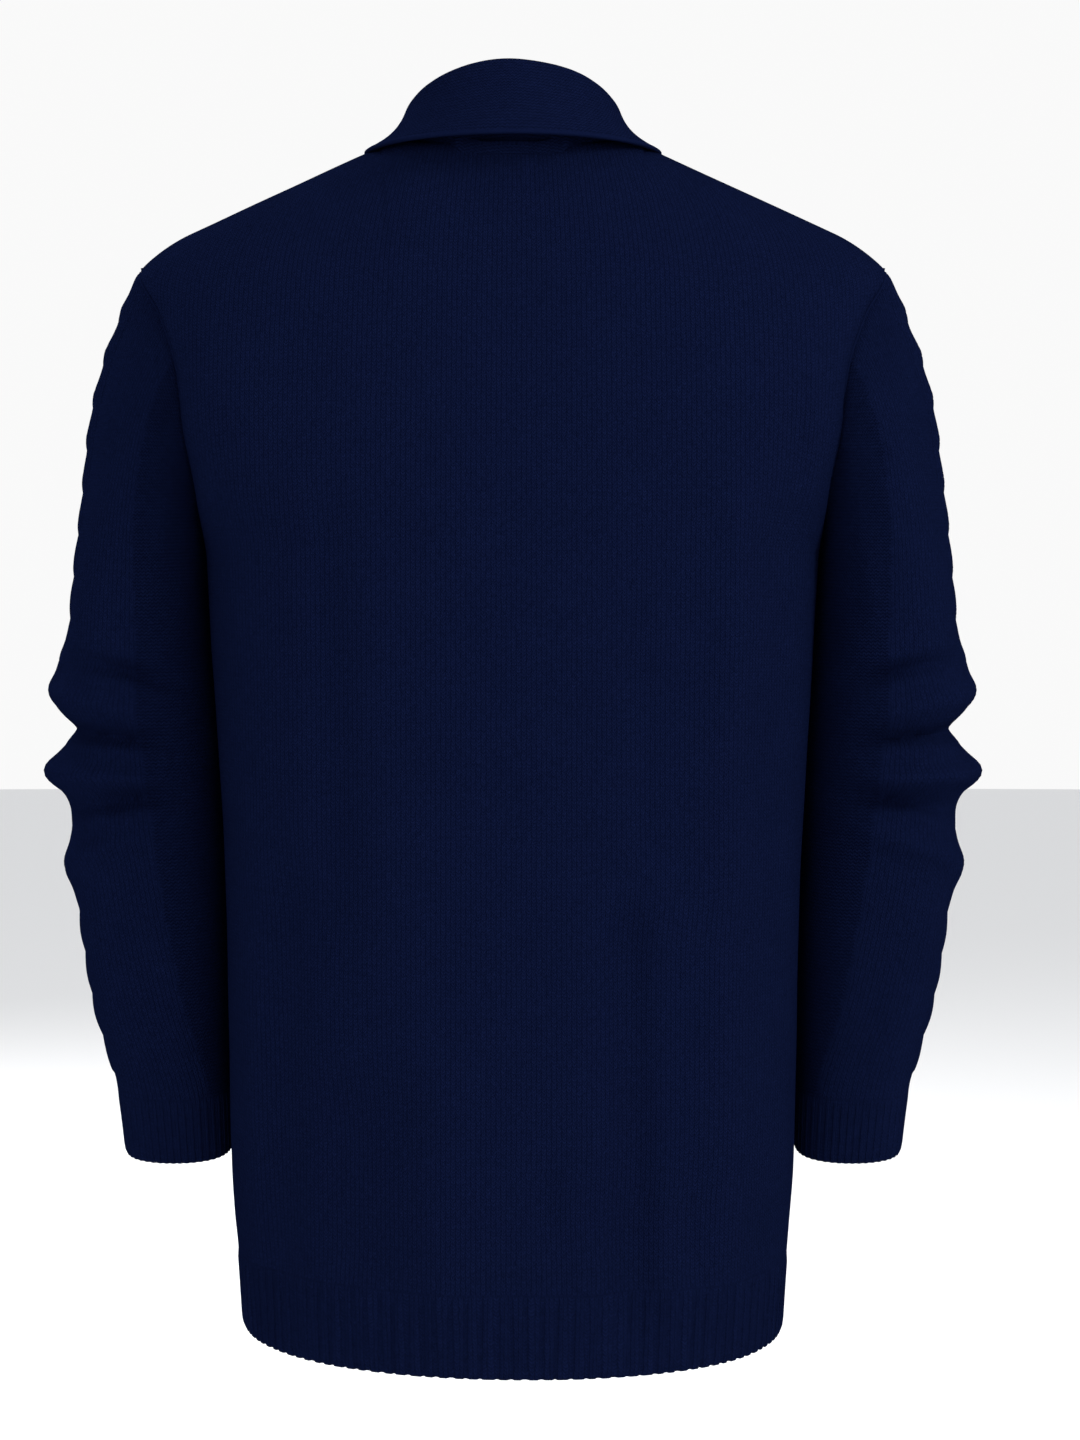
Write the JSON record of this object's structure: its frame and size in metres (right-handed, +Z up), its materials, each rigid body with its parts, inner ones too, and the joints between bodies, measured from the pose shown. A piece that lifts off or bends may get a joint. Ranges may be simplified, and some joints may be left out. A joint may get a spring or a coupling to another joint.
{
  "type": "knitted cardigan",
  "caption": "Navy knitted cardigan with a shawl collar, cabled sleeves and ribbed hem and cuffs, filled out as worn and empty inside.",
  "frame": {"origin": "the middle of the neck opening, level with the neck ends of the shoulder seams, where the wearer's shoulders hold the garment", "axes": "+Z up, -Y to the garment's front, +X to the wearer's left"},
  "size_m": [0.5444, 0.2515, 0.7189],
  "materials": {
    "knit": "matt wool, plain knit with ribs and cables",
    "button": "dark navy, softly polished"
  },
  "bodies": {
    "root": {"back": "knit", "front_left": "knit", "front_right": "knit", "hem_rib_back": "knit", "hem_rib_left": "knit", "hem_rib_right": "knit", "sleeve_left": "knit", "sleeve_right": "knit", "cuff_left": "knit", "cuff_right": "knit", "collar": "knit", "band_left": "knit", "band_right": "knit", "button_1": "button", "button_2": "button", "button_3": "button", "button_4": "button", "button_5": "button"}
  },
  "joints": []
}
